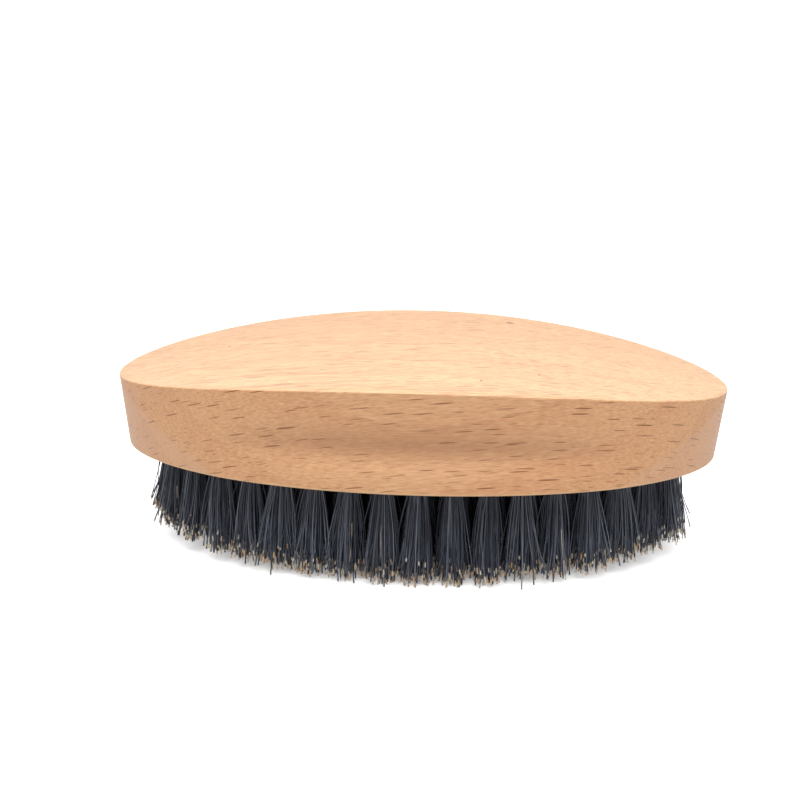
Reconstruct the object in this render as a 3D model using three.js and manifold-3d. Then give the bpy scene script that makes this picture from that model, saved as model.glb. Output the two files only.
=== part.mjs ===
// A beard brush of the one-piece palm kind: an oval beech block, arched along its length, with a
// shallow finger groove in each long side. Blind holes in its flat underside hold the bristle
// tufts. Each tuft is a bundle of bristles folded over a short flat wire anchor, which pins the
// fold near the bottom of its hole.
//
// Millimetres, +Z up, +X along the brush. The origin is the centre of the footprint, on the plane
// that the longest bristles stand on.

import * as THREE from "three";
import { mergeVertices } from "three/addons/utils/BufferGeometryUtils.js";
import Module from "manifold-3d";

const wasm = await Module();
wasm.setup();

// ---- Driving dimensions ------------------------------------------------------------------------

// The block: two ellipses, one at its top edge and a slightly smaller one round its underside.
const TOP_HALF_LENGTH = 62.5;
const TOP_HALF_WIDTH = 31.5;
const UNDERSIDE_HALF_LENGTH = 61.8;
const UNDERSIDE_HALF_WIDTH = 30.3;
const END_THICKNESS = 14.6;
const ARCH_RISE = 6.2; // how much higher the middle of the top is than its two ends

// The finger groove: deepest at mid-length, on a line a little below half the side's height. Its
// edges run together towards the ends of the block.
const GROOVE_DEPTH = 1.5;
const GROOVE_HALF_LENGTH = 40;
const GROOVE_LINE = 0.41; // shares of the side's height, from the underside
const GROOVE_LOWER_EDGE = 0.12;
const GROOVE_UPPER_EDGE = 0.75;
const GROOVE_END_SHARE = 0.12; // of its full height, where it has run out

// The ends are sanded back below a slanting crease that rises from the underside.
const CREASE_START = 38.5; // distance from mid-length at the underside
const CREASE_SLOPE = 0.6;
const CREASE_CUT = 0.06; // depth for each millimetre below the crease

// The bristles: longest at mid-length, and trimmed to a gentle dome towards the ends.
const BRISTLE_LENGTH = 20.6;
const TIP_DOME = 4;
const TIP_DOME_HALF_LENGTH = 55;
const TIP_RADIUS = 3.1;
const BUNDLE_RADIUS = 1.4;
const FOLD_RADIUS = 0.8;

// The blind holes, and the wire anchor that lies across each tuft's fold.
const HOLE_RADIUS = 1.75;
const HOLE_DEPTH = 9;
const FOLD_HEIGHT = 8.4; // above the underside, like the other two
const FOLD_SHOULDER = 6;
const ANCHOR_HEIGHT = 6.6;
const ANCHOR_SIZE = new THREE.Vector3(3, 0.5, 1.3);

// The tufts stand in rings inside each other, round one straight row. Each ring is an ellipse.
// Neighbours that share a mesh are tied together by the tips that mingle between them.
const OUTER_RING = { name: "outer_tuft", tufts: 36, perMesh: 1, halfLength: 52.2, halfWidth: 23 };
const INNER_RINGS = [
  { name: "second_ring_tufts", tufts: 28, perMesh: 2, halfLength: 45.5, halfWidth: 16 },
  { name: "third_ring_tufts", tufts: 20, perMesh: 4, halfLength: 37, halfWidth: 8.8 },
];
const CENTRE_ROW = { name: "centre_row_tufts", tufts: 9, perMesh: 3, halfLength: 26.4 };
const OUTWARD_LEAN = 1; // of a tip in the outer ring, and less further in
const TIE_WIDTH = 2.4;
const TIE_HEIGHT = 3;
const TIE_ABOVE_TIPS = 0.6;

const BLOCK_SIDES = 72;
const ROUND_SIDES = 8;

const UNDERSIDE = BRISTLE_LENGTH;

const beech = { color: 0xd9a878, roughness: 0.5, metalness: 0 };
const boarBristle = { color: 0x26272b, roughness: 0.45, metalness: 0 };

// ---- Solids ------------------------------------------------------------------------------------

// A closed geometry through rings of points, lowest ring first. Each ring runs anticlockwise seen
// from above and is symmetric about its own long axis, so strips across that axis close its ends.
function loft(rings) {
  const count = rings[0].length;
  const faces = [];
  for (let ring = 0; ring < rings.length - 1; ring += 1) {
    for (let i = 0; i < count; i += 1) {
      const here = ring * count + i;
      const next = ring * count + ((i + 1) % count);
      faces.push(here, next, next + count);
      faces.push(here, next + count, here + count);
    }
  }
  const top = (rings.length - 1) * count;
  for (let i = 0; i < count / 2; i += 1) {
    const near = i;
    const nearNext = i + 1;
    const far = (count - i) % count;
    const farNext = count - i - 1;
    faces.push(top + near, top + nearNext, top + farNext);
    faces.push(top + near, top + farNext, top + far);
    faces.push(near, farNext, nearNext);
    faces.push(near, far, farNext);
  }
  return new THREE.BufferGeometry().setFromPoints(rings.flat()).setIndex(faces);
}

// A geometry as a manifold-3d solid. Only positions are kept, and vertices in one place are merged.
function solid(geometry) {
  const bare = geometry.clone();
  bare.deleteAttribute("normal");
  bare.deleteAttribute("uv");
  const merged = mergeVertices(bare);
  return new wasm.Manifold(
    new wasm.Mesh({
      numProp: 3,
      vertProperties: merged.attributes.position.array,
      triVerts: new Uint32Array(merged.index.array),
    }),
  );
}

// A named mesh of a manifold-3d solid, in a material of its own.
function namedMesh(name, shape, look) {
  const made = shape.getMesh();
  const geometry = new THREE.BufferGeometry();
  geometry.setAttribute("position", new THREE.BufferAttribute(made.vertProperties, 3));
  geometry.setIndex(new THREE.BufferAttribute(made.triVerts, 1));
  geometry.computeVertexNormals();
  const mesh = new THREE.Mesh(geometry, new THREE.MeshStandardMaterial(look));
  mesh.name = name;
  return mesh;
}

// ---- The tufts' places -------------------------------------------------------------------------

// A tuft's foot, and how far its tip stands from it, outward in both directions.
function tuftPlace(foot) {
  const share = new THREE.Vector2(foot.x / OUTER_RING.halfLength, foot.y / OUTER_RING.halfWidth);
  return { foot, lean: share.multiplyScalar(OUTWARD_LEAN) };
}

// Places spaced evenly along an ellipse, the first on +X.
function ringPlaces({ tufts, halfLength, halfWidth }) {
  const ellipse = new THREE.EllipseCurve(0, 0, halfLength, halfWidth);
  ellipse.arcLengthDivisions = 2000;
  return Array.from({ length: tufts }, (_, i) => tuftPlace(ellipse.getPointAt(i / tufts)));
}

function rowPlaces({ tufts, halfLength }) {
  return Array.from({ length: tufts }, (_, i) => {
    const x = halfLength * ((2 * i) / (tufts - 1) - 1);
    return tuftPlace(new THREE.Vector2(x, 0));
  });
}

// ---- The wooden block --------------------------------------------------------------------------

// How far a side is cut back at a point x along the block and a share of its height.
function sideCut(x, share, height) {
  const fade = 1 - (x / GROOVE_HALF_LENGTH) ** 2;
  const edge = share < GROOVE_LINE ? GROOVE_LOWER_EDGE : GROOVE_UPPER_EDGE;
  const towardsEdge = (share - GROOVE_LINE) / (edge - GROOVE_LINE);
  const groove = GROOVE_DEPTH * Math.max(0, fade - towardsEdge);
  const belowCrease = CREASE_SLOPE * (Math.abs(x) - CREASE_START) - height;
  return groove + CREASE_CUT * Math.max(0, belowCrease);
}

// One ring of the block's side. `level` is 0 at the underside, 1 at the groove's lower edge, 2 on
// its line, 3 at its upper edge and 4 at the top, and the edges close up towards the ends.
function sideRing(level) {
  return Array.from({ length: BLOCK_SIDES }, (_, i) => {
    const angle = (i / BLOCK_SIDES) * 2 * Math.PI;
    const across = Math.cos(angle);
    const x = TOP_HALF_LENGTH * across;
    const fade = 1 - (x / GROOVE_HALF_LENGTH) ** 2;
    const spread = Math.max(GROOVE_END_SHARE, fade);
    const lowerEdge = GROOVE_LINE + (GROOVE_LOWER_EDGE - GROOVE_LINE) * spread;
    const upperEdge = GROOVE_LINE + (GROOVE_UPPER_EDGE - GROOVE_LINE) * spread;
    const stops = [0, lowerEdge, GROOVE_LINE, upperEdge, 1];
    const from = Math.min(Math.floor(level), stops.length - 2);
    const share = THREE.MathUtils.lerp(stops[from], stops[from + 1], level - from);
    const thickness = END_THICKNESS + ARCH_RISE * (1 - across ** 2);
    const height = share * thickness;
    const cut = sideCut(x, share, height);
    const halfLength = THREE.MathUtils.lerp(UNDERSIDE_HALF_LENGTH, TOP_HALF_LENGTH, share) - cut;
    const halfWidth = THREE.MathUtils.lerp(UNDERSIDE_HALF_WIDTH, TOP_HALF_WIDTH, share) - cut;
    return new THREE.Vector3(
      halfLength * across,
      halfWidth * Math.sin(angle),
      UNDERSIDE + height,
    );
  });
}

function blindHole({ foot }) {
  const drilled = HOLE_DEPTH + 1; // starts a millimetre below the underside
  const hole = new THREE.CylinderGeometry(HOLE_RADIUS, HOLE_RADIUS, drilled, ROUND_SIDES);
  hole.rotateX(Math.PI / 2);
  hole.translate(foot.x, foot.y, UNDERSIDE + HOLE_DEPTH - drilled / 2);
  return solid(hole);
}

function woodenBlock(places) {
  const levels = [0, 1, 1.5, 2, 2.5, 3, 4];
  let block = solid(loft(levels.map(sideRing)));
  for (const place of places) block = block.subtract(blindHole(place));
  return namedMesh("wooden_block", block, beech);
}

// ---- The tufts ---------------------------------------------------------------------------------

// The height of the trimmed tips at a point x along the brush.
function tipHeight(x) {
  return TIP_DOME * (x / TIP_DOME_HALF_LENGTH) ** 2;
}

function circle(centre, radius, z) {
  return Array.from({ length: ROUND_SIDES }, (_, i) => {
    const angle = (i / ROUND_SIDES) * 2 * Math.PI;
    return new THREE.Vector3(
      centre.x + radius * Math.cos(angle),
      centre.y + radius * Math.sin(angle),
      z,
    );
  });
}

// One tuft: straight in its hole up to the fold, spreading and leaning below the underside, with
// its wire anchor across the fold.
function tuftSolid({ foot, lean }) {
  const tip = foot.clone().add(lean);
  const bundle = loft([
    circle(tip, TIP_RADIUS, tipHeight(foot.x)),
    circle(foot, BUNDLE_RADIUS, UNDERSIDE),
    circle(foot, BUNDLE_RADIUS, UNDERSIDE + FOLD_SHOULDER),
    circle(foot, FOLD_RADIUS, UNDERSIDE + FOLD_HEIGHT),
  ]);
  const anchor = new THREE.BoxGeometry(...ANCHOR_SIZE.toArray());
  anchor.translate(foot.x, foot.y, UNDERSIDE + ANCHOR_HEIGHT);
  return solid(bundle).add(solid(anchor));
}

// The bristle tips that mingle between two neighbouring tufts.
function tie(first, second) {
  const start = first.foot.clone().add(first.lean);
  const end = second.foot.clone().add(second.lean);
  const step = end.clone().sub(start);
  const bar = new THREE.BoxGeometry(step.length(), TIE_WIDTH, TIE_HEIGHT);
  bar.rotateZ(step.angle());
  const highestTip = Math.max(tipHeight(first.foot.x), tipHeight(second.foot.x));
  const middle = start.clone().add(end).multiplyScalar(0.5);
  bar.translate(middle.x, middle.y, highestTip + TIE_ABOVE_TIPS + TIE_HEIGHT / 2);
  return solid(bar);
}

function tuftMesh(name, places) {
  let bundle = tuftSolid(places[0]);
  for (let i = 1; i < places.length; i += 1) {
    bundle = bundle.add(tuftSolid(places[i])).add(tie(places[i - 1], places[i]));
  }
  return namedMesh(name, bundle, boarBristle);
}

// The meshes of one ring or row, numbered from 01.
function tuftMeshes({ name, perMesh, places }) {
  const meshes = [];
  for (let first = 0; first < places.length; first += perMesh) {
    const number = String(first / perMesh + 1).padStart(2, "0");
    meshes.push(tuftMesh(`${name}_${number}`, places.slice(first, first + perMesh)));
  }
  return meshes;
}

// ---- The brush ---------------------------------------------------------------------------------

const rows = [OUTER_RING, ...INNER_RINGS].map((ring) => ({ ...ring, places: ringPlaces(ring) }));
rows.push({ ...CENTRE_ROW, places: rowPlaces(CENTRE_ROW) });

const tufts = new THREE.Group();
tufts.add(...rows.flatMap(tuftMeshes));

const beardBrush = new THREE.Group();
beardBrush.add(woodenBlock(rows.flatMap((row) => row.places)));
beardBrush.add(tufts);

export default beardBrush;
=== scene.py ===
"""A beard brush standing on its bristles: an oval beech block and its boar bristle tufts.

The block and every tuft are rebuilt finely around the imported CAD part. Each bristle is a strand
of its own, folded over the wire anchor that holds its tuft in the wood. Lengths are in metres.
"""

import math

import bpy
import numpy as np
from mathutils import Matrix, Vector, geometry


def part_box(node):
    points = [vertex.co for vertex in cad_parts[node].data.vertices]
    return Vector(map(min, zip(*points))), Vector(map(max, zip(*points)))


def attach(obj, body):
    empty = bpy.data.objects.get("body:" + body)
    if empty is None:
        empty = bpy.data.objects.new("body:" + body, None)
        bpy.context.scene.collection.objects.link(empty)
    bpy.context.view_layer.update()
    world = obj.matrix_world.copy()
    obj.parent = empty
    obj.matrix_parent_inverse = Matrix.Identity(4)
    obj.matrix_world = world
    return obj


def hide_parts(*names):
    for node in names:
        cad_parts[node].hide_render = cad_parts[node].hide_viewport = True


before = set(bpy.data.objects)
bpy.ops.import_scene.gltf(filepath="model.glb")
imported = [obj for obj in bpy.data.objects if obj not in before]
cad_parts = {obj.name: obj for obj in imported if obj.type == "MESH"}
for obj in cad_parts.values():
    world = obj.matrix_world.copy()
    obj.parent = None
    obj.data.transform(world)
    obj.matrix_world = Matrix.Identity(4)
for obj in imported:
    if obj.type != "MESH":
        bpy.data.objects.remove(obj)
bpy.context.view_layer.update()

MM = 0.001
rng = np.random.default_rng(7)

# ---- Sizes, from the frame and from the block's own proportions ----------------------------------

BLOCK_NODE = "wooden_block"
block_low, block_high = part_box(BLOCK_NODE)
UNDERSIDE = block_low.z
TOP_HALF_LENGTH = block_high.x
TOP_HALF_WIDTH = block_high.y
UNDERSIDE_HALF_LENGTH = TOP_HALF_LENGTH - 0.7 * MM
UNDERSIDE_HALF_WIDTH = TOP_HALF_WIDTH - 1.2 * MM
ARCH_RISE = 6.2 * MM
END_THICKNESS = block_high.z - UNDERSIDE - ARCH_RISE

GROOVE_DEPTH = 1.3 * MM
GROOVE_HALF_LENGTH = 40 * MM
GROOVE_LINE = 0.39  # shares of the side's height, from the underside
GROOVE_BELOW = 0.18
GROOVE_ABOVE = 0.19
SHADE_LIFT = 0.07  # of the groove's painted shade line above the groove's own
SHADE_WIDTH = 0.12

CREASE_START = 38.5 * MM  # the ends are sanded back below a crease that slants up from here
CREASE_SLOPE = 0.6
CREASE_CUT = 0.06  # how deep they are cut, as a share of the way below it
EDGE_ROUNDING = 0.25 * MM

HOLE_RADIUS = 1.75 * MM
HOLE_DEPTH = 9 * MM
HOLE_POINT = 0.8 * MM  # the drill's cone beyond that depth
HOLE_BEVEL = 0.15 * MM

TIP_DOME = 4 * MM
TIP_DOME_HALF_LENGTH = 55 * MM
TUFT_LEAN = 1.0 * MM  # in the outer ring, and less further in
ANCHOR_HEIGHT = 6.6 * MM  # above the underside, where the bundle folds
ANCHOR_SIZE = Vector((3.9, 0.5, 1.3)) * MM
ANCHOR_BEVEL = 0.12 * MM
ANCHOR_END = 0.8  # size of its end faces, as a share of its section
FOLD_CLEARANCE = 0.36 * MM  # from the anchor's middle to the innermost strand
FOLD_SPREAD = 0.6  # how far the other strands lie beyond it, by their places in the bundle
FOLD_SQUEEZE = 0.75  # of the bundle along the anchor
FOLD_WIDEST = 1.5 * MM

STRANDS = 84  # in a tuft, each with two ends
BUNDLE_RADIUS = 1.5 * MM
BRISTLE_RADIUS = 0.1 * MM
TIP_TAPER = 0.85  # radius near a tip, as a share of the radius at the fold
TIP_FLARE = 1.5  # the same at the split tip itself
STRAND_BOW = 0.45 * MM
TIP_SPREAD = 3.0 * MM
TUFT_SPREADS = (0.85, 1.15)  # from the tightest tuft to the widest
TUFT_LEAN_SPREAD = 0.3 * MM
WILD_SHARE = 0.22  # of the bristle ends, which fan out further than the rest
WILD_REACH = (1.1, 1.9)
TIP_JITTER = 0.5 * MM
TRIM_DEPTH = 3.2 * MM  # from the longest tips to the shortest ordinary ones
TRIM_POWER = 1.3
SHORT_SHARE = 0.15  # of the bristle ends, which are shorter still
SHORT_DEPTH = 3 * MM
TONE_POWER = 1.5  # above 1, more strands are dark than light
UNDYED_NEAR = (0.92, 0.965)  # the way along an end to where it turns undyed
UNDYED_FAR = (0.2, 0.6)
UNDYED_TIPS = 0.7  # share of the bristle ends that turn undyed, the blond ones included, their pale tips also painted glints
BLOND_SHARE = 0.008  # of the bristle ends, undyed from far up


# ---- Small helpers -------------------------------------------------------------------------------


def new_object(name, vertices, faces, smooth_angle=None):
    """A mesh object from points and faces, shaded smooth up to an angle in degrees."""
    mesh = bpy.data.meshes.new(name)
    mesh.from_pydata([tuple(v) for v in vertices], [], faces)
    mesh.validate()
    if smooth_angle is not None:
        mesh.shade_smooth()
        mesh.set_sharp_from_angle(angle=math.radians(smooth_angle))
    made = bpy.data.objects.new(name, mesh)
    bpy.context.scene.collection.objects.link(made)
    return made


def dome(x):
    """The height of the trimmed tips at a point along the brush."""
    return TIP_DOME * (x / TIP_DOME_HALF_LENGTH) ** 2


# ---- Materials -----------------------------------------------------------------------------------


def srgb(red, green, blue):
    """A linear colour from its 0 to 255 display values."""
    return tuple((c / 255) ** 2.2 for c in (red, green, blue)) + (1.0,)


# The back and front tones: the front is lighter, partly in the wood itself and partly as painted light.
WOOD_BACK = srgb(200, 151, 102)
WOOD_FRONT = srgb(219, 178, 129)
# The side faces' tone: partly their edge grain, partly painted shade
WOOD_SIDE_GRAIN_AND_SHADE = srgb(230, 136, 90)
WOOD_RED = srgb(210, 156, 110)
WOOD_RING = srgb(192, 136, 94)
# Pale fibres in the grain, and the painted highlight on the lower arris
WOOD_PALE = srgb(238, 198, 148)
WOOD_FLECK = srgb(144, 84, 40)
# Painted shade along the finger groove's line
WOOD_GROOVE_SHADE = srgb(182, 120, 84)
# Painted sheen on the ends below the crease
WOOD_END_SHEEN = srgb(226, 186, 156)

# The tree's axes run along its fibres, along its rays and square to both. Every length that is
# measured on them is in millimetres.
WOOD_TURN = (math.radians(28), math.radians(5), 0)  # from the brush's axes to the tree's
BACK_DEPTH = 8  # along the rays, where the wood has its back tone
FRONT_DEPTH = -40
RING_WIDTH = 9
RING_EDGE = 0.95  # of a ring's width, where its dark wood ends
RAY_WAVE = (120, 22, 22)
RAY_WAVE_HEIGHT = 10
BROAD_PATCH = (45, 9, 9)
STREAK = (18, 0.9, 0.4)
FIBRE = (2.6, 0.35, 0.22)

# Marks in the wood: how far apart, how large and what share of the places has one.
PORE_LINES = ((5, 1.5, 1.5), (5, 0.5, 0.5), 0.75)
LARGE_FLECKS = ((6, 5, 0.95), (4.4, 3.6, 0.27), 0.72)
FINE_FLECKS = ((3, 1.8, 0.6), (1.5, 1.2, 0.18), 0.6)

# Knots in the top: x and y of the middle, length and width, in millimetres.
PIN_KNOTS = ((-41, 6.5, 0.8, 0.8), (18.5, 24, 1.9, 1.6), (11.5, -21.5, 0.6, 1.1), (23, -14.5, 0.7, 0.8))

# Painted light that the block's attributes mark, each with its share and colour: the groove's
# painted shade, a painted sheen on the ends below the crease and a painted highlight on the lower
# arris.
PAINTED_LIGHT_MARKS = (
    ("groove_painted_shade", 0.4, WOOD_GROOVE_SHADE),
    ("end_painted_sheen", 0.25, WOOD_END_SHEEN),
    ("arris", 0.5, WOOD_PALE),
)


class NodeMaker:
    """Adds nodes to a material, with inputs given as values or as other nodes' outputs."""

    def __init__(self, name, turn=(0, 0, 0)):
        self.turn = turn
        self.material = bpy.data.materials.new(name)
        self.material.use_nodes = True
        self.tree = self.material.node_tree
        self.shader = self.tree.nodes["Principled BSDF"]

    def set(self, node, inputs):
        for key, value in inputs.items():
            if isinstance(value, bpy.types.NodeSocket):
                self.tree.links.new(value, node.inputs[key])
            else:
                node.inputs[key].default_value = value

    def add(self, kind, inputs=None, **settings):
        node = self.tree.nodes.new("ShaderNode" + kind)
        for key, value in settings.items():
            setattr(node, key, value)
        self.set(node, inputs or {})
        return node

    def math(self, operation, first, second=0.0):
        return self.add("Math", {0: first, 1: second}, operation=operation).outputs[0]

    def mix(self, share, first, second):
        node = self.add("Mix", {"Factor": share}, data_type="RGBA")
        self.set(node, {6: first, 7: second})
        return node.outputs[2]

    def shade(self, tone, colour, amount, share):
        """A tone moved towards a colour, by a share of an amount."""
        return self.mix(self.math("MULTIPLY", amount, share), tone, colour)

    def ramp(self, value, low, high):
        """0 where value is at low, 1 where it is at high, and smooth between."""
        node = self.add("MapRange", {0: value, 1: low, 2: high}, interpolation_type="SMOOTHSTEP")
        return node.outputs[0]

    def stretched(self, size):
        """Coordinates on the material's own axes, divided by a size in millimetres on each axis."""
        place = self.add("TexCoord").outputs["Object"]
        turned = self.add("Mapping", {"Vector": place, "Rotation": self.turn}).outputs[0]
        scale = [1 / (length * MM) for length in size]
        return self.add("Mapping", {"Vector": turned, "Scale": scale}).outputs[0]

    def noise(self, size, detail=2.0):
        coordinates = self.stretched(size)
        return self.add("TexNoise", {"Vector": coordinates, "Scale": 1.0, "Detail": detail}).outputs[0]


def flecks(maker, spacing, size, keep):
    """Marks cut across by the surface: a spindle in each kept cell of a stretched Voronoi pattern.

    Spindles reach from 0.75 to 1.25 of the given size, and are 0.6 to 1 dark.
    """
    place = maker.stretched(spacing)
    cells = maker.add("TexVoronoi", {"Vector": place, "Scale": 1.0})
    chance = maker.add("SeparateColor", {0: cells.outputs["Color"]})
    offset = maker.add("VectorMath", {0: place, 1: cells.outputs["Position"]}, operation="SUBTRACT")
    radii = [2 * gap / length for gap, length in zip(spacing, size)]
    scaled = maker.add("VectorMath", {0: offset.outputs[0], 1: radii}, operation="MULTIPLY")
    distance = maker.add("VectorMath", {0: scaled.outputs[0]}, operation="LENGTH").outputs["Value"]
    reach = maker.math("ADD", maker.math("MULTIPLY", chance.outputs[1], 0.5), 0.75)
    inside = maker.math("SUBTRACT", 1.0, maker.math("DIVIDE", distance, reach))
    strength = maker.math("ADD", maker.math("MULTIPLY", chance.outputs[2], 0.4), 0.6)
    kept = maker.math("LESS_THAN", chance.outputs[0], keep)
    return maker.math("MULTIPLY", maker.math("MULTIPLY", kept, strength), maker.ramp(inside, 0.0, 0.4))


def radial_place(maker):
    """Place along the rays, with a slow wave along the grain."""
    wave = maker.math("MULTIPLY", maker.noise(RAY_WAVE, detail=1.0), RAY_WAVE_HEIGHT)
    place = maker.add("SeparateXYZ", {0: maker.stretched((1, 1, 1))}).outputs[1]
    return maker.math("ADD", place, maker.math("SUBTRACT", wave, RAY_WAVE_HEIGHT / 2))


def growth_rings(maker, radial):
    """Faint growth rings, square to the rays: each darkens slowly and ends in a sharp edge."""
    ring = maker.math("FRACT", maker.math("DIVIDE", radial, -RING_WIDTH))
    return maker.math("MULTIPLY", maker.math("POWER", ring, 2.0), maker.ramp(ring, 1.0, RING_EDGE))


def pin_knots(maker):
    """The tiny dark knots in the top."""
    dark = 0.0
    place = maker.add("TexCoord").outputs["Object"]
    for x, y, length, width in PIN_KNOTS:
        scale = (1 / (length * MM), 1 / (width * MM), 0)
        offset = (-x / length, -y / width, 0)
        local = maker.add("Mapping", {"Vector": place, "Scale": scale, "Location": offset}).outputs[0]
        distance = maker.add("VectorMath", {0: local}, operation="LENGTH").outputs["Value"]
        dark = maker.math("ADD", dark, maker.ramp(distance, 0.55, 0.3))
    return dark


def wood_figure(maker, flat, fibre):
    """The tone of the wood without its flecks: patches, rings, streaks, fibres and pore lines."""
    radial = radial_place(maker)
    broad = maker.noise(BROAD_PATCH, detail=1.0)
    streaks = maker.noise(STREAK)
    # Lighter towards the front: partly the wood's own tone, partly painted light.
    tone = maker.mix(maker.ramp(radial, BACK_DEPTH, FRONT_DEPTH), WOOD_BACK, WOOD_FRONT)
    tone = maker.shade(tone, WOOD_RED, maker.ramp(broad, 0.4, 0.7), 0.2)
    tone = maker.shade(tone, WOOD_RING, growth_rings(maker, radial), 0.35)
    # The side faces turn redder and darker: partly edge grain, partly painted shade.
    tone = maker.mix(flat, maker.mix(0.3, tone, WOOD_SIDE_GRAIN_AND_SHADE), tone)
    streak_share = maker.math("ADD", maker.math("MULTIPLY", flat, 0.65), 0.3)
    tone = maker.shade(tone, WOOD_RING, maker.ramp(streaks, 0.5, 0.7), streak_share)
    tone = maker.shade(tone, WOOD_RING, maker.ramp(fibre, 0.48, 0.64), 0.45)
    tone = maker.shade(tone, WOOD_PALE, maker.ramp(fibre, 0.48, 0.32), 0.4)
    pores = maker.math("MULTIPLY", flecks(maker, *PORE_LINES), flat)
    return maker.shade(tone, WOOD_RING, pores, 0.7)


def wood_flecks(maker, flat):
    """Ray flecks, fainter in the flat faces than in the side, and the top's knots."""
    large = flecks(maker, *LARGE_FLECKS)
    fine = maker.math("MULTIPLY", flecks(maker, *FINE_FLECKS), 0.5)
    seen = maker.math("SUBTRACT", 1.0, maker.math("MULTIPLY", flat, 0.4))
    dark = maker.math("MULTIPLY", maker.math("MAXIMUM", large, fine), seen)
    return maker.math("MAXIMUM", dark, maker.math("MULTIPLY", pin_knots(maker), flat))


def beech_material():
    """Steamed beech, oiled to a soft shine."""
    maker = NodeMaker("beech", WOOD_TURN)
    facing = maker.add("SeparateXYZ", {0: maker.add("NewGeometry").outputs["Normal"]}).outputs[2]
    flat = maker.ramp(maker.math("ABSOLUTE", facing), 0.5, 0.8)
    fibre = maker.noise(FIBRE, detail=4.0)
    dark = wood_flecks(maker, flat)
    tone = maker.mix(dark, wood_figure(maker, flat, fibre), WOOD_FLECK)
    # Painted light from the block's attributes: shade in the groove, sheen on the ends, a highlight on
    # the lower arris
    for mark, share, colour in PAINTED_LIGHT_MARKS:
        amount = maker.add("Attribute", attribute_name=mark).outputs["Fac"]
        tone = maker.shade(tone, colour, amount, share)
    height = maker.math("ADD", maker.math("MULTIPLY", fibre, 0.4), maker.math("MULTIPLY", dark, -0.6))
    bump = maker.add("Bump", {"Height": height, "Strength": 0.4, "Distance": 0.08 * MM})
    maker.set(maker.shader, {
        "Base Color": tone,
        "Roughness": maker.math("ADD", 0.4, maker.math("MULTIPLY", fibre, 0.14)),
        "Normal": bump.outputs[0],
        "Coat Weight": 0.4,
        "Coat Roughness": 0.32,
    })
    return maker.material


def bristle_material():
    """Black-dyed boar bristle, undyed at some of its split tips, which are made paler still as painted
    glints.

    The colour attribute holds the way along a strand from its hole to its tip, the strand's tone,
    where on that way it turns undyed, and the tone of its tip.
    """
    maker = NodeMaker("boar_bristle")
    strand = maker.add("Attribute", attribute_name="strand")
    parts = maker.add("SeparateColor", {0: strand.outputs["Color"]})
    along, tone, undyed_from = parts.outputs[0], parts.outputs[1], parts.outputs[2]
    body = maker.mix(tone, srgb(42, 45, 58), srgb(120, 126, 138))
    tip = maker.ramp(maker.math("SUBTRACT", along, undyed_from), 0.0, 0.02)
    # The undyed tips' colour, lightened to near white as painted glints
    tip_colour_and_glint = maker.mix(strand.outputs["Alpha"], srgb(252, 204, 148), srgb(255, 253, 240))
    maker.set(maker.shader, {
        "Base Color": maker.mix(tip, body, tip_colour_and_glint),
        "Roughness": 0.38,
        "Specular IOR Level": 0.5,
    })
    return maker.material


def wire_material():
    """Drawn brass wire, dulled a little."""
    maker = NodeMaker("anchor_wire")
    stain = maker.noise((0.9, 0.2, 0.2), detail=3.0)
    maker.set(maker.shader, {
        "Base Color": maker.mix(maker.ramp(stain, 0.35, 0.75), srgb(214, 178, 104), srgb(170, 128, 70)),
        "Roughness": maker.math("ADD", 0.28, maker.math("MULTIPLY", stain, 0.2)),
        "Metallic": 1.0,
    })
    return maker.material


# ---- The wooden block ----------------------------------------------------------------------------

BLOCK_SIDES = 288
SIDE_LEVELS = 56
ROUNDING_STEPS = 4
TOP_ROWS = 24
HOLE_SIDES = 24
SIDE_RIM = 0.85  # how far out the side lies, as a share of the top's oval
ARRIS_RIM = 0.9
ARRIS_REACH = 1.01 * EDGE_ROUNDING  # just past the side's lowest ring
# over which the ends' painted sheen fades in below the crease
END_SHEEN_FADE = 0.5 * MM


def thickness(x):
    """The block's height from underside to top at a point along it."""
    return END_THICKNESS + ARCH_RISE * (1 - (x / TOP_HALF_LENGTH) ** 2)


def groove_cut(x, share):
    """Depth of the finger groove: a smooth hollow along the side, running out to both ends."""
    fade = max(0.0, 1 - (x / GROOVE_HALF_LENGTH) ** 2)
    width = GROOVE_BELOW if share < GROOVE_LINE else GROOVE_ABOVE
    return GROOVE_DEPTH * fade * math.exp(-(((share - GROOVE_LINE) / width) ** 2))


def side_point(angle, share, inset=0.0, drop=0.0):
    """A point of the block's side, by its angle round the oval and its share of the height."""
    across = math.cos(angle)
    x = TOP_HALF_LENGTH * across
    height = share * thickness(x)
    below_crease = CREASE_SLOPE * (abs(x) - CREASE_START) - height
    cut = groove_cut(x, share) + CREASE_CUT * max(0.0, below_crease) + inset
    half_length = UNDERSIDE_HALF_LENGTH + (TOP_HALF_LENGTH - UNDERSIDE_HALF_LENGTH) * share - cut
    half_width = UNDERSIDE_HALF_WIDTH + (TOP_HALF_WIDTH - UNDERSIDE_HALF_WIDTH) * share - cut
    return (half_length * across, half_width * math.sin(angle), UNDERSIDE + height - drop)


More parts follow.
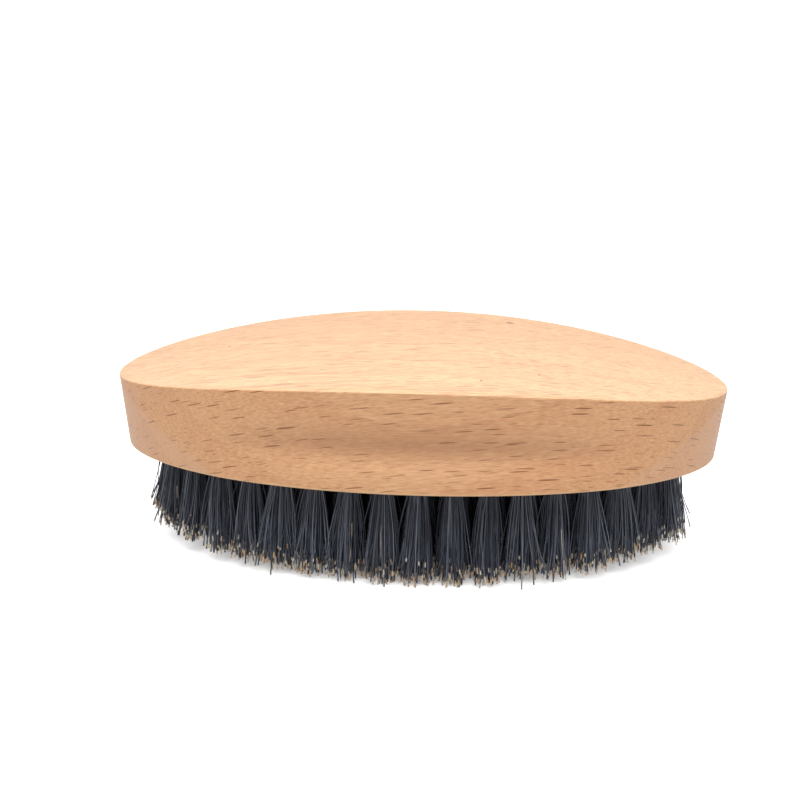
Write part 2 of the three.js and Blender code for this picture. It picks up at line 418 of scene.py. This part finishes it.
def block_rings():
    """Rings of the block's outside from the underside's rim to the rim of the top."""
    rings = []
    angles = [2 * math.pi * i / BLOCK_SIDES for i in range(BLOCK_SIDES)]
    for step in range(ROUNDING_STEPS):
        turn = math.pi / 2 * step / ROUNDING_STEPS
        inset = EDGE_ROUNDING * (1 - math.sin(turn))
        rise = EDGE_ROUNDING * (1 - math.cos(turn))
        rings.append([side_point(a, 0.0, inset, -rise) for a in angles])
    for level in range(SIDE_LEVELS + 1):
        ring = []
        for a in angles:
            low = EDGE_ROUNDING / thickness(TOP_HALF_LENGTH * math.cos(a))
            ring.append(side_point(a, low + (1 - 2 * low) * level / SIDE_LEVELS))
        rings.append(ring)
    for step in range(1, ROUNDING_STEPS + 1):
        turn = math.pi / 2 * step / ROUNDING_STEPS
        inset = EDGE_ROUNDING * (1 - math.cos(turn))
        drop = EDGE_ROUNDING * (1 - math.sin(turn))
        rings.append([side_point(a, 1.0, inset, drop) for a in angles])
    return rings


def top_surface(vertices, faces, first):
    """Closes the top with rows across the block, between the two sides of its rim ring."""
    half = BLOCK_SIDES // 2
    columns = [[first]]
    for i in range(1, half):
        near, far = np.array(vertices[first + i]), np.array(vertices[first + BLOCK_SIDES - i])
        column = [first + i]
        for row in range(1, TOP_ROWS):
            column.append(len(vertices))
            vertices.append(tuple(near + (far - near) * row / TOP_ROWS))
        column.append(first + BLOCK_SIDES - i)
        columns.append(column)
    columns.append([first + half])
    for here, after in zip(columns, columns[1:]):
        for row in range(TOP_ROWS):
            a, b = here[min(row, len(here) - 1)], here[min(row + 1, len(here) - 1)]
            d, c = after[min(row, len(after) - 1)], after[min(row + 1, len(after) - 1)]
            faces.append(tuple(dict.fromkeys((a, d, c, b))))


def circle(centre, radius, height):
    """Points of a circle round a hole."""
    return [
        (
            centre[0] + radius * math.cos(2 * math.pi * i / HOLE_SIDES),
            centre[1] + radius * math.sin(2 * math.pi * i / HOLE_SIDES),
            height,
        )
        for i in range(HOLE_SIDES)
    ]


def join_rings(faces, lower, upper, count):
    """Quads between two rings of vertices, each given by its first index."""
    for i in range(count):
        after = (i + 1) % count
        faces.append((lower + i, lower + after, upper + after, upper + i))


def blind_hole(vertices, faces, rim, foot):
    """The bevelled mouth, wall and conical bottom of a tuft's hole, up from its rim circle."""
    rings = [rim]
    for radius, depth in ((HOLE_RADIUS, HOLE_BEVEL), (HOLE_RADIUS, HOLE_DEPTH)):
        rings.append(len(vertices))
        vertices.extend(circle(foot, radius, UNDERSIDE + depth))
    for lower, upper in zip(rings, rings[1:]):
        for i in range(HOLE_SIDES):
            after = (i + 1) % HOLE_SIDES
            faces.append((lower + after, lower + i, upper + i, upper + after))
    point = len(vertices)
    vertices.append((foot[0], foot[1], UNDERSIDE + HOLE_DEPTH + HOLE_POINT))
    for i in range(HOLE_SIDES):
        faces.append((rings[-1] + (i + 1) % HOLE_SIDES, rings[-1] + i, point))


def underside(vertices, faces, feet):
    """The flat underside between its rim and the holes, and the holes themselves."""
    outline = list(range(BLOCK_SIDES))
    flat = [Vector(vertices[i][:2]) / MM for i in outline]
    loops = [outline]
    sources = list(outline)
    for foot in feet:
        rim = len(vertices)
        vertices.extend(circle(foot, HOLE_RADIUS + HOLE_BEVEL, UNDERSIDE))
        loops.append(list(range(len(flat), len(flat) + HOLE_SIDES)))
        flat.extend(Vector(vertices[rim + i][:2]) / MM for i in range(HOLE_SIDES))
        sources.extend(range(rim, rim + HOLE_SIDES))
        blind_hole(vertices, faces, rim, foot)
    edges = [(loop[i - 1], loop[i]) for loop in loops for i in range(len(loop))]
    points, _, triangles, origins, _, _ = geometry.delaunay_2d_cdt(flat, edges, [outline], 1, 1e-5)
    centres = np.array(feet)[:, :2] / MM
    clear = HOLE_RADIUS / MM
    for triangle in triangles:
        middle = np.mean([points[i] for i in triangle], axis=0)
        if np.hypot(*(centres - middle).T).min() > clear:
            a, b, c = (sources[origins[i][0]] for i in triangle)
            faces.append((a, c, b))


def block_marks(vertices):
    """How far each vertex has painted shade in the groove, painted sheen on an end and a painted
    highlight on the lower arris.
    """
    marks = {"groove_painted_shade": [], "end_painted_sheen": [], "arris": []}
    for x, y, z in vertices:
        share = (z - UNDERSIDE) / thickness(x)
        below_crease = CREASE_SLOPE * (abs(x) - CREASE_START) - share * thickness(x)
        rim = math.hypot(x / TOP_HALF_LENGTH, y / TOP_HALF_WIDTH)
        on_side = rim > SIDE_RIM
        fade = max(0.0, 1 - (x / GROOVE_HALF_LENGTH) ** 2)
        # painted shade along the groove's line
        near_line = math.exp(-(((share - GROOVE_LINE - SHADE_LIFT) / SHADE_WIDTH) ** 2))
        marks["groove_painted_shade"].append(near_line * fade * on_side)
        # painted sheen on the ends below the crease
        marks["end_painted_sheen"].append(on_side * min(1.0, max(0.0, below_crease / END_SHEEN_FADE)))
        # painted highlight on the lower arris
        on_arris = 0 < z - UNDERSIDE < ARRIS_REACH and rim > ARRIS_RIM
        marks["arris"].append(float(on_arris))
    return marks


def build_block(feet, material):
    """The whole block with its holes, in place of the CAD block."""
    vertices, faces = [], []
    rings = block_rings()
    for ring in rings:
        vertices.extend(ring)
    for level in range(len(rings) - 1):
        join_rings(faces, level * BLOCK_SIDES, (level + 1) * BLOCK_SIDES, BLOCK_SIDES)
    top_surface(vertices, faces, (len(rings) - 1) * BLOCK_SIDES)
    underside(vertices, faces, feet)
    block = new_object("beech_block", vertices, faces, smooth_angle=35)
    marks = block_marks(vertices)
    for name in marks:
        block.data.attributes.new(name, "FLOAT", "POINT")
    for name, values in marks.items():
        block.data.attributes[name].data.foreach_set("value", values)
    block.data.materials.append(material)
    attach(block, "root")
    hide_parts(BLOCK_NODE)


# ---- The tufts -----------------------------------------------------------------------------------

FOLD_BAND = 0.1 * MM  # below a CAD tuft's highest points, all of them on its fold
FOLD_REACH = 3 * MM  # farther than one fold reaches, nearer than the next tuft


def tuft_feet(node):
    """Where a CAD node's tufts stand: the middles of the folds at the top of its mesh."""
    points = np.array([tuple(v.co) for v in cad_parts[node].data.vertices])
    folds = points[points[:, 2] > points[:, 2].max() - FOLD_BAND]
    feet = []
    for point in folds:
        if not any(math.dist(point[:2], foot) < FOLD_REACH for foot in feet):
            near = folds[np.hypot(*(folds[:, :2] - point[:2]).T) < FOLD_REACH]
            low, high = near[:, :2].min(axis=0), near[:, :2].max(axis=0)
            feet.append(tuple((low + high) / 2))
    return feet


def disc_halves(count):
    """Matched pairs of places in the two halves of a disc, y below and above its middle."""
    pairs = []
    for side in (-1, 1):
        radius = np.sqrt(rng.random(count))
        angle = math.pi * rng.random(count)
        places = np.stack([radius * np.cos(angle), side * radius * np.sin(angle)], axis=1)
        pairs.append(places[np.argsort(abs(places[:, 1]))])
    return pairs


OUTER_STEPS = 6
FOLD_TURNS = (0, 60, 120, 180)
STRAND_POINTS = 2 * (OUTER_STEPS + 1) + len(FOLD_TURNS)
TUBE_SIDE = np.array([1.0, 0.25, 0.0])  # sets how a tube's corners are turned


def outer_path(foot, root, tips):
    """The bristle ends below the underside: from the tips up to the hole's mouth."""
    count = len(root)
    start = np.column_stack([root * BUNDLE_RADIUS + foot, np.full(count, UNDERSIDE)])
    bow = rng.normal(0, STRAND_BOW, (count, 2))
    rows = []
    for step in range(OUTER_STEPS, -1, -1):
        way = step / OUTER_STEPS
        row = start + (tips - start) * way
        row[:, :2] += bow * (4 * way * (1 - way))
        rows.append(row)
    return rows


def tip_places(foot, root, lean, spread):
    """Ends of the bristles: fanned out, leaning together, and trimmed unevenly to the dome."""
    count = len(root)
    wild = np.where(rng.random(count) < WILD_SHARE, rng.uniform(*WILD_REACH, count), 1.0)
    fan = root * spread * wild[:, None] + rng.normal(0, TIP_JITTER, (count, 2))
    level = foot + lean + fan
    short = rng.random(count) ** TRIM_POWER * TRIM_DEPTH
    short += np.where(rng.random(count) < SHORT_SHARE, rng.uniform(0, SHORT_DEPTH, count), 0)
    height = dome(level[:, 0]) + short
    return np.column_stack([level, height])


def undyed_places(count):
    """Where on the way to its tip each bristle turns undyed: near it, far from it, or never."""
    chance = rng.random(count)
    near_tip = rng.uniform(*UNDYED_NEAR, count)
    far_up = rng.uniform(*UNDYED_FAR, count)
    never = 2.0
    return np.where(chance < BLOND_SHARE, far_up, np.where(chance < UNDYED_TIPS, near_tip, never))


def fold_path(foot, near, far):
    """The bend over the anchor, from one half of the bundle to the other."""
    across = FOLD_CLEARANCE + FOLD_SPREAD * (abs(near[:, 1]) + abs(far[:, 1])) * BUNDLE_RADIUS
    across = np.minimum(across, FOLD_WIDEST)
    rows = []
    for turn in FOLD_TURNS:
        angle = math.radians(turn)
        share = turn / 180
        x = (near[:, 0] * (1 - share) + far[:, 0] * share) * BUNDLE_RADIUS * FOLD_SQUEEZE
        y = -across * math.cos(angle)
        z = UNDERSIDE + ANCHOR_HEIGHT + across * math.sin(angle)
        rows.append(np.column_stack([x + foot[0], y + foot[1], z]))
    return rows


def strand_tubes(paths, radii):
    """Four-sided tubes along paths of points, as vertices and quads. paths is strand, point, xyz."""
    ahead = np.gradient(paths, axis=1)
    ahead /= np.linalg.norm(ahead, axis=2, keepdims=True)
    side = np.cross(ahead, TUBE_SIDE)
    side /= np.linalg.norm(side, axis=2, keepdims=True)
    other = np.cross(ahead, side)
    corners = [side, other, -side, -other]
    rings = np.stack([paths + c * radii[None, :, None] for c in corners], axis=2)
    strands, points = paths.shape[:2]
    faces = []
    for strand in range(strands):
        base = strand * points * 4
        for i in range(points - 1):
            here = base + i * 4
            for j in range(4):
                k = (j + 1) % 4
                faces.append((here + j, here + k, here + 4 + k, here + 4 + j))
        last = base + (points - 1) * 4
        faces.append((base + 3, base + 2, base + 1, base))
        faces.append((last, last + 1, last + 2, last + 3))
    return rings.reshape(-1, 3), faces


def tuft_strands(foot):
    """Paths of a tuft's strands, and the colour attribute of every point on them."""
    foot = np.array(foot)
    near, far = disc_halves(STRANDS)
    lean = TUFT_LEAN * foot / FIELD_HALF_SIZE + rng.normal(0, TUFT_LEAN_SPREAD, 2)
    spread = TIP_SPREAD * rng.uniform(*TUFT_SPREADS)
    rows = outer_path(foot, near, tip_places(foot, near, lean, spread))
    rows += fold_path(foot, near, far)
    rows += outer_path(foot, far, tip_places(foot, far, lean, spread))[::-1]
    paths = np.stack(rows, axis=1)
    way = np.linspace(1, 0, OUTER_STEPS + 1)
    along = np.concatenate([way, np.zeros(len(FOLD_TURNS)), way[::-1]])
    marks = np.zeros((STRANDS, STRAND_POINTS, 4))
    marks[:, :, 0] = along
    marks[:, :, 1] = rng.random((STRANDS, 1)) ** TONE_POWER
    half = STRAND_POINTS // 2
    for end in (slice(None, half), slice(half, None)):
        marks[:, end, 2] = undyed_places(STRANDS)[:, None]
        marks[:, end, 3] = rng.random((STRANDS, 1))
    return paths, marks


def strand_radii():
    """A strand tapers from its fold to both of its ends, where its split tip spreads again."""
    taper = np.linspace(TIP_TAPER, 1.0, OUTER_STEPS + 1)
    taper[0] = TIP_FLARE
    middle = np.ones(len(FOLD_TURNS))
    return BRISTLE_RADIUS * np.concatenate([taper, middle, taper[::-1]])


def bake_columns(tufts):
    """UVs for baking: a square block for each tuft, and in it a narrow column for each strand."""
    side_gap, end_gap = 0.1, 0.01
    strip = []
    for i in range(STRAND_POINTS - 1):
        for j in range(4):
            strip += [(j, i), (j + 1, i), (j + 1, i + 1), (j, i + 1)]
    strip += [(j, 0) for j in (3, 2, 1, 0)]
    strip += [(j, STRAND_POINTS - 1) for j in (0, 1, 2, 3)]
    across, along = np.array(strip).T / np.array([[4], [STRAND_POINTS - 1]])
    strand = np.arange(tufts * STRANDS)[:, None]
    column, tuft = strand % STRANDS, strand // STRANDS
    blocks = math.ceil(math.sqrt(tufts))
    u = (tuft % blocks + (column + side_gap + (1 - 2 * side_gap) * across) / STRANDS) / blocks
    v = (tuft // blocks + end_gap + (1 - 2 * end_gap) * along) / blocks
    return np.stack([u, v], axis=2).ravel()


def build_bristles(node, feet, material):
    """All bristles of a node's tufts, in place of the CAD tufts."""
    sets = [tuft_strands(foot) for foot in feet]
    paths = np.concatenate([paths for paths, _ in sets])
    marks = np.concatenate([marks for _, marks in sets])
    vertices, faces = strand_tubes(paths, strand_radii())
    bristles = new_object(node + "_bristles", vertices, faces, smooth_angle=100)
    colour = bristles.data.color_attributes.new("strand", "FLOAT_COLOR", "POINT")
    colour.data.foreach_set("color", np.repeat(marks.reshape(-1, 4), 4, axis=0).ravel())
    layout = bristles.data.uv_layers.new(name="OFBake")
    layout.data.foreach_set("uv", bake_columns(len(feet)))
    bristles.data.materials.append(material)
    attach(bristles, "root")
    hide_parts(node)


def build_anchors(node, feet, material):
    """Short flat wires with rounded edges, one across each tuft's fold."""
    vertices, faces = [], []
    half = ANCHOR_SIZE / 2
    bevel = ANCHOR_BEVEL
    outline = [
        (half.y - bevel, -half.z), (half.y, -half.z + bevel),
        (half.y, half.z - bevel), (half.y - bevel, half.z),
        (-half.y + bevel, half.z), (-half.y, half.z - bevel),
        (-half.y, -half.z + bevel), (-half.y + bevel, -half.z),
    ]
    count = len(outline)
    for foot in feet:
        rings = []
        for x, shrink in (
            (-half.x, ANCHOR_END),
            (-half.x + bevel, 1),
            (half.x - bevel, 1),
            (half.x, ANCHOR_END),
        ):
            rings.append(len(vertices))
            for y, z in outline:
                height = UNDERSIDE + ANCHOR_HEIGHT + z * shrink
                vertices.append((foot[0] + x, foot[1] + y * shrink, height))
        for lower, upper in zip(rings, rings[1:]):
            join_rings(faces, lower, upper, count)
        faces.append(tuple(rings[0] + i for i in reversed(range(count))))
        faces.append(tuple(rings[-1] + i for i in range(count)))
    anchors = new_object(node + "_anchors", vertices, faces, smooth_angle=50)
    anchors.data.materials.append(material)
    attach(anchors, "root")


# ---- Floor, lights and camera --------------------------------------------------------------------

FLOOR = 4.0  # half its width
FLOOR_SEEN = (0.95, 0.95, 0.95, 1)
FLOOR_BOUNCE = (0.5, 0.5, 0.5, 1)  # its colour to everything but the camera
FLOOR_GLOW = 0.5
GLOW_EDGE = (0.75, 1.1)  # of the dull oval round the brush, where the glow starts and is full
GLOW_SHIFT = 0.55  # of that oval to the back, in its own half widths
FRONT_ROOM = 0.12  # the room's brightness in front of the brush
BACK_ROOM = 1.2  # and behind it

# Each light: its name, the place it shines from, its strength, spread in degrees and colour.
LIGHTS = (
    ("overhead_light", (0.0, -0.28, 1.0), 3.12, 50, (1.0, 1.0, 1.0)),
    ("low_front_light", (0.0, -1.0, 0.2), 0.48, 40, (0.88, 0.92, 1.0)),
)


def build_floor():
    """A pale floor with a painted glow that only the camera sees, except under the brush and just
    behind it.
    """
    corners = [(-FLOOR, -FLOOR, 0), (FLOOR, -FLOOR, 0), (FLOOR, FLOOR, 0), (-FLOOR, FLOOR, 0)]
    floor = new_object("floor", corners, [(0, 1, 2, 3)])
    maker = NodeMaker("pale_floor")
    seen = maker.add("LightPath").outputs["Is Camera Ray"]
    place = maker.add("TexCoord").outputs["Object"]
    scale = (1 / TOP_HALF_LENGTH, 1 / (2 * TOP_HALF_WIDTH), 0)
    oval = maker.add("Mapping", {"Vector": place, "Scale": scale, "Location": (0, -GLOW_SHIFT, 0)})
    distance = maker.add("VectorMath", {0: oval.outputs[0]}, operation="LENGTH").outputs["Value"]
    glow = maker.math("MULTIPLY", maker.ramp(distance, *GLOW_EDGE), FLOOR_GLOW)
    maker.set(maker.shader, {
        "Base Color": maker.mix(seen, FLOOR_BOUNCE, FLOOR_SEEN),
        "Roughness": 0.9,
        "Specular IOR Level": 0.0,
        "Emission Color": (1, 1, 1, 1),
        "Emission Strength": maker.math("MULTIPLY", seen, glow),
    })
    floor.data.materials.append(maker.material)


def sun(name, place, strength, spread, colour):
    """A soft distant light shining from a place towards the brush."""
    light = bpy.data.lights.new(name, "SUN")
    light.energy = strength
    light.color = colour
    light.angle = math.radians(spread)
    holder = bpy.data.objects.new(name, light)
    bpy.context.scene.collection.objects.link(holder)
    holder.rotation_euler = Vector(place).to_track_quat("Z", "Y").to_euler()


def build_world():
    """A soft studio room: brighter behind the brush than in front, and white to the camera."""
    world = bpy.data.worlds.new("studio")
    world.use_nodes = True
    tree = world.node_tree
    room = tree.nodes["Background"]
    place = tree.nodes.new("ShaderNodeTexCoord")
    parts = tree.nodes.new("ShaderNodeSeparateXYZ")
    fade = tree.nodes.new("ShaderNodeMapRange")
    fade.inputs[1].default_value = -1.0
    fade.inputs[3].default_value = FRONT_ROOM
    fade.inputs[4].default_value = BACK_ROOM
    tree.links.new(place.outputs["Generated"], parts.inputs[0])
    tree.links.new(parts.outputs["Y"], fade.inputs[0])
    tree.links.new(fade.outputs[0], room.inputs["Strength"])
    room.inputs["Color"].default_value = (1, 1, 1, 1)
    seen = tree.nodes.new("ShaderNodeBackground")
    seen.inputs["Color"].default_value = (1, 1, 1, 1)
    seen.inputs["Strength"].default_value = 1.0
    ray = tree.nodes.new("ShaderNodeLightPath")
    mix = tree.nodes.new("ShaderNodeMixShader")
    tree.links.new(ray.outputs["Is Camera Ray"], mix.inputs[0])
    tree.links.new(room.outputs[0], mix.inputs[1])
    tree.links.new(seen.outputs[0], mix.inputs[2])
    tree.links.new(mix.outputs[0], tree.nodes["World Output"].inputs[0])
    bpy.context.scene.world = world


def build_lights():
    build_world()
    for light in LIGHTS:
        sun(*light)
    bpy.context.scene.view_settings.view_transform = "Standard"


CAMERA_DISTANCE = 0.3
CAMERA_ELEVATION = math.radians(18.6)
CAMERA_AZIMUTH = math.radians(1.0)
CAMERA_ROLL = math.radians(1.3)
CAMERA_LENS = 64.7
CAMERA_SENSOR = 36
CAMERA_NEAR = 0.01
CAMERA_SHIFT = (-0.0274, 0.028)
CAMERA_TARGET_HEIGHT = 25.2 * MM


def build_camera():
    """A camera at the photo's angle."""
    camera = bpy.data.objects.new("camera", bpy.data.cameras.new("camera"))
    bpy.context.scene.collection.objects.link(camera)
    flat = CAMERA_DISTANCE * math.cos(CAMERA_ELEVATION)
    target = Vector((0, 0, CAMERA_TARGET_HEIGHT))
    place = target + Vector((
        flat * math.sin(CAMERA_AZIMUTH),
        -flat * math.cos(CAMERA_AZIMUTH),
        CAMERA_DISTANCE * math.sin(CAMERA_ELEVATION),
    ))
    facing = (target - place).to_track_quat("-Z", "Y").to_matrix()
    camera.rotation_euler = (facing @ Matrix.Rotation(CAMERA_ROLL, 3, "Z")).to_euler()
    camera.location = place
    camera.data.lens = CAMERA_LENS
    camera.data.sensor_width = CAMERA_SENSOR
    camera.data.clip_start = CAMERA_NEAR
    camera.data.shift_x, camera.data.shift_y = CAMERA_SHIFT
    bpy.context.scene.camera = camera


# ---- The brush -----------------------------------------------------------------------------------

build_camera()
build_lights()
build_floor()

tuft_nodes = sorted(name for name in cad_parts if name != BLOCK_NODE)
feet_by_node = {name: tuft_feet(name) for name in tuft_nodes}
all_feet = [foot for feet in feet_by_node.values() for foot in feet]
FIELD_HALF_SIZE = np.abs(all_feet).max(axis=0)

build_block(all_feet, beech_material())
bristle = bristle_material()
wire = wire_material()
for node_name, node_feet in feet_by_node.items():
    build_bristles(node_name, node_feet, bristle)
    build_anchors(node_name, node_feet, wire)
